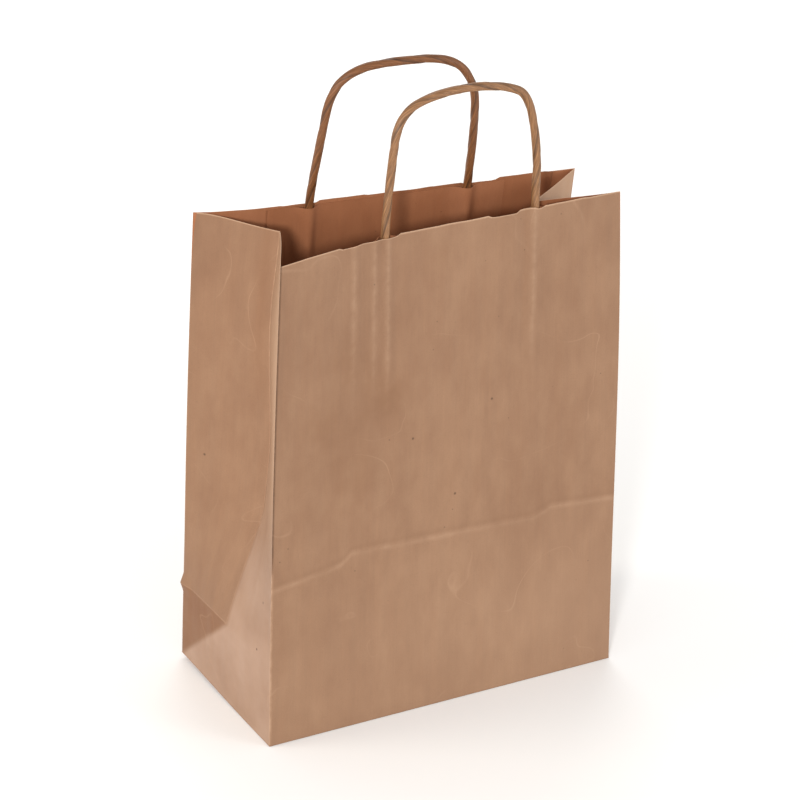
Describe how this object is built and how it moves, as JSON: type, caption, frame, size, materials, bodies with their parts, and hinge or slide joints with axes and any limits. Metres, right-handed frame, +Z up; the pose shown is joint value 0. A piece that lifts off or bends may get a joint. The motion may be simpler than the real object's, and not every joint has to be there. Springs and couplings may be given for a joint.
{
  "type": "gift bag",
  "caption": "Upright brown kraft paper carrier bag with folded side gussets, block bottom and twisted paper cord handles glued under patches inside the mouth.",
  "frame": {"origin": "middle of the base, on the surface that the bag stands on", "axes": "+Z up, +X along the front panel to the right, +Y from the front panel to the rear panel"},
  "size_m": [0.2535, 0.11, 0.3989],
  "materials": {
    "kraft_paper": "machine-glazed brown kraft, slight sheen",
    "patch_paper": "unglazed brown kraft",
    "twisted_paper_cord": "twisted kraft strip",
    "paper_glue": "dried white glue film"
  },
  "bodies": {
    "bag": {"front_panel": "kraft_paper", "rear_panel": "kraft_paper", "left_gusset_base": "kraft_paper", "left_gusset_front": "kraft_paper", "left_gusset_rear": "kraft_paper", "right_gusset_base": "kraft_paper", "right_gusset_front": "kraft_paper", "right_gusset_rear": "kraft_paper", "side_seam_glue": "paper_glue", "side_seam_flap": "kraft_paper", "front_patch_outer": "patch_paper", "front_patch_glue": "paper_glue", "front_patch_inner": "patch_paper", "rear_patch_outer": "patch_paper", "rear_patch_glue": "paper_glue", "rear_patch_inner": "patch_paper", "front_cord_ends": "twisted_paper_cord", "rear_cord_ends": "twisted_paper_cord", "bottom_front_flap": "kraft_paper", "bottom_rear_flap": "kraft_paper", "bottom_glue": "paper_glue", "bottom_left_tuck": "kraft_paper", "bottom_right_tuck": "kraft_paper"},
    "front_handle": {"front_handle_cord": "twisted_paper_cord"},
    "rear_handle": {"rear_handle_cord": "twisted_paper_cord"}
  },
  "joints": [
    {"name": "front_handle_fold", "type": "hinge", "parent": "bag", "child": "front_handle", "pos_m": [-0.04642, -0.02725, 0.31522], "axis": [0.9992, 0.0392, 0], "range_deg": [-6, 170], "stiffness_Nm_per_rad": 0.02},
    {"name": "rear_handle_fold", "type": "hinge", "parent": "bag", "child": "rear_handle", "pos_m": [-0.06634, 0.02888, 0.31523], "axis": [-0.997, 0.0775, 0], "range_deg": [-6, 170], "stiffness_Nm_per_rad": 0.02}
  ]
}
